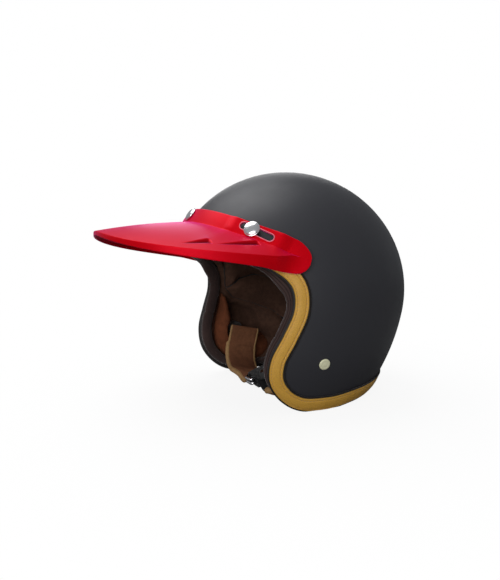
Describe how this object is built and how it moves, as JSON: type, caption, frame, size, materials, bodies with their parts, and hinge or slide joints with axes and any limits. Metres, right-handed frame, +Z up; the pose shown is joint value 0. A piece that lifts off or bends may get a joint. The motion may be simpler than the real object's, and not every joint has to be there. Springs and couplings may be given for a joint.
{
  "type": "open-face motorcycle helmet",
  "caption": "Open-face helmet: round hard shell with a leather-bound edge, padded lining, buckled chin strap, and a long clip-on peak held by snap fasteners, the side ones in slots.",
  "frame": {"origin": "under the middle of the shell, on the plane that the two cheeks rest on, midway between them", "axes": "+Z up, -Y the way the wearer looks, +X the wearer's left"},
  "size_m": [0.24, 0.3322, 0.233],
  "materials": {
    "shell_paint": "matt charcoal black",
    "leather": "tan, smooth grain",
    "welt": "black-brown, smooth",
    "dark_piping": "dark brown cord",
    "lining_edge": "dark plum-grey knit",
    "foam": "black bead foam",
    "lining": "dark brown brushed knit",
    "cheek_fabric": "red-brown brushed suede cloth",
    "steel": "zinc-plated",
    "rivet_metal": "pale cream brass",
    "webbing": "black woven webbing",
    "sleeve_fabric": "tan-brown suede cloth",
    "peak_plastic": "gloss red",
    "chrome": "polished"
  },
  "bodies": {
    "shell": {"outer_shell": "shell_paint", "edge_trim": "leather", "edge_welt": "welt", "trim_piping": "dark_piping", "edge_roll": "lining_edge", "impact_liner": "foam", "crown_pad": "lining", "brow_pad": "lining", "nape_roll": "lining", "cheek_pad_left": "cheek_fabric", "cheek_pad_right": "cheek_fabric", "strap_anchor_left": "steel", "strap_anchor_right": "steel", "strap_rivet_left": "rivet_metal", "strap_rivet_right": "rivet_metal", "snap_stud_left": "steel", "snap_stud_centre": "steel", "snap_stud_right": "steel", "stud_washers": "steel"},
    "visor": {"visor_peak": "peak_plastic", "snap_cap_centre": "chrome", "snap_socket_centre": "steel"},
    "snap_left": {"snap_cap_left": "chrome", "snap_socket_left": "steel"},
    "snap_right": {"snap_cap_right": "chrome", "snap_socket_right": "steel"},
    "chin_strap": {"strap_hanger_left": "steel", "strap_hanger_right": "steel", "ring_strap": "webbing", "long_strap": "webbing", "strap_sleeve_left": "sleeve_fabric", "strap_sleeve_right": "sleeve_fabric", "keeper_snap": "chrome"},
    "d_ring_upper": {"d_ring_inner": "chrome"},
    "d_ring_lower": {"d_ring_outer": "chrome"}
  },
  "joints": [
    {"name": "chin_strap_swing", "type": "hinge", "parent": "shell", "child": "chin_strap", "pos_m": [0, -0.01952, 0.05015], "axis": [1, 0, 0], "range_deg": [-25, 12]},
    {"name": "d_ring_upper_rock", "type": "hinge", "parent": "chin_strap", "child": "d_ring_upper", "pos_m": [0.002, -0.03161, 0.01519], "axis": [0, 0.9397, 0.342], "range_deg": [0, 15]},
    {"name": "d_ring_lower_rock", "type": "hinge", "parent": "chin_strap", "child": "d_ring_lower", "pos_m": [0.002, -0.03003, 0.01087], "axis": [0, 0.9397, 0.342], "range_deg": [-4, 0]},
    {"name": "visor_release", "type": "slide", "parent": "shell", "child": "visor", "axis": [0, -0.7998, 0.6003], "range_m": [0, 0.022]},
    {"name": "snap_left_slide", "type": "slide", "parent": "visor", "child": "snap_left", "axis": [0.7327, 0.5662, -0.3776], "range_m": [0, 0.0155]},
    {"name": "snap_right_slide", "type": "slide", "parent": "visor", "child": "snap_right", "axis": [-0.7327, 0.5662, -0.3776], "range_m": [0, 0.0155]}
  ],
  "couplings": [
    {"joint": "snap_left_slide", "follows": "visor_release", "ratio": 0.67954},
    {"joint": "snap_right_slide", "follows": "visor_release", "ratio": 0.67954}
  ]
}
